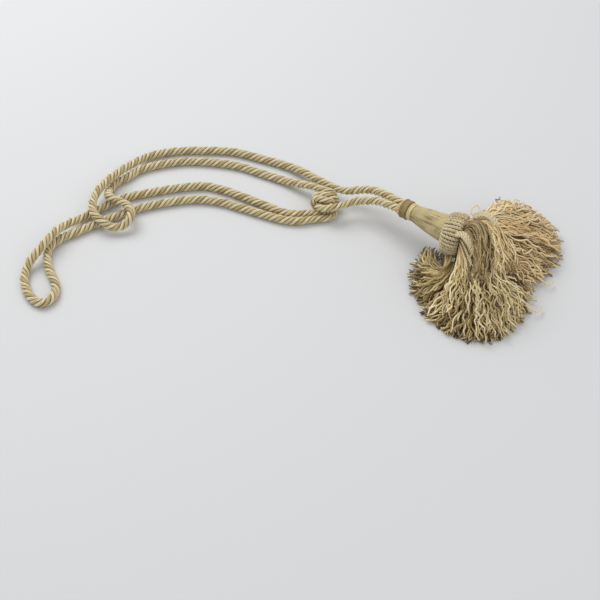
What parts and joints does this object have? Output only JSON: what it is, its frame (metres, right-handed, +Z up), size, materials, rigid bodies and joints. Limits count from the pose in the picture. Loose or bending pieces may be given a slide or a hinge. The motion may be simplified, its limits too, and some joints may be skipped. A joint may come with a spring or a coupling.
{
  "type": "curtain tieback tassel",
  "caption": "Knotted twisted-rope curtain tieback with an end loop on each arm and a bell-headed tassel with a ruffled heading and a full thread fringe, lying on a surface.",
  "frame": {"origin": "on the surface that the tieback lies on, below the middle of the tassel (head, ruff and fringe)", "axes": "+Z up from the surface; the rope arms run from the tassel towards -X, the fringe fans out towards +X and -Y"},
  "size_m": [0.5085, 0.2741, 0.0549],
  "materials": {
    "rope": "satin twisted cord of light and darker plies",
    "collar": "dark wrapped braid",
    "binding": "light wrapped thread",
    "bell": "satin thread laid lengthwise",
    "ruff": "matt looped braid",
    "fringe": "soft crinkled twisted thread"
  },
  "bodies": {
    "root": {"arm_a": "rope", "arm_b": "rope", "knot": "rope", "link_upper": "rope", "link_lower": "rope", "collar_band": "collar", "binding_ring": "binding", "bell": "bell", "ruff_braid": "ruff", "fringe_right": "fringe", "fringe_lower": "fringe", "fringe_left": "fringe"}
  },
  "joints": []
}
